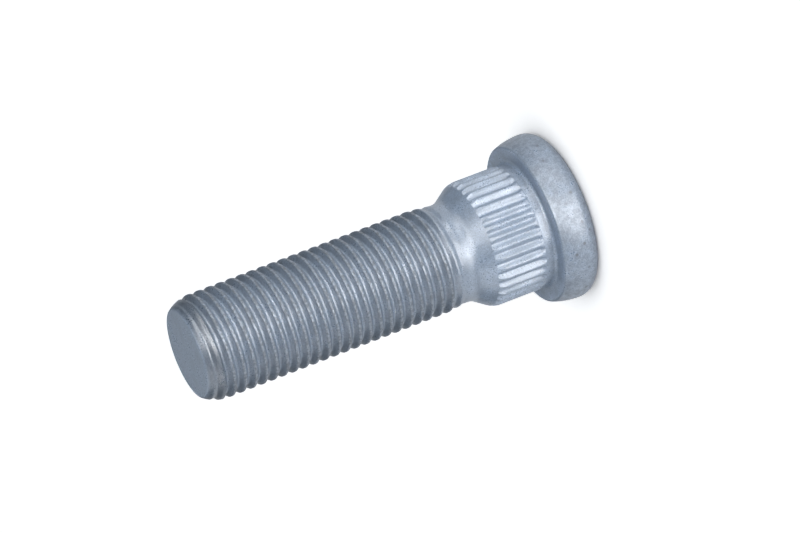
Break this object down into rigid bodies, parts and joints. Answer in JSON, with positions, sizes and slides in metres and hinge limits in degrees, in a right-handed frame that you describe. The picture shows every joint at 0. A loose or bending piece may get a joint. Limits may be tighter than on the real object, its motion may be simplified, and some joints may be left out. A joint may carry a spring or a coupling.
{
  "type": "wheel stud",
  "caption": "Press-in wheel stud: round flanged head, straight-knurled seat, tapered neck and fine-threaded shank with a chamfered point.",
  "frame": {"origin": "centre of the head's outer face, on which the stud stands", "axes": "+Z along the stud's axis from the head to the threaded point; a knurl crest lies on +X"},
  "size_m": [0.019, 0.019, 0.0456],
  "materials": {
    "coated_steel": "matt silver-grey zinc-flake coating on forged steel"
  },
  "bodies": {
    "root": {"wheel_stud": "coated_steel"}
  },
  "joints": []
}
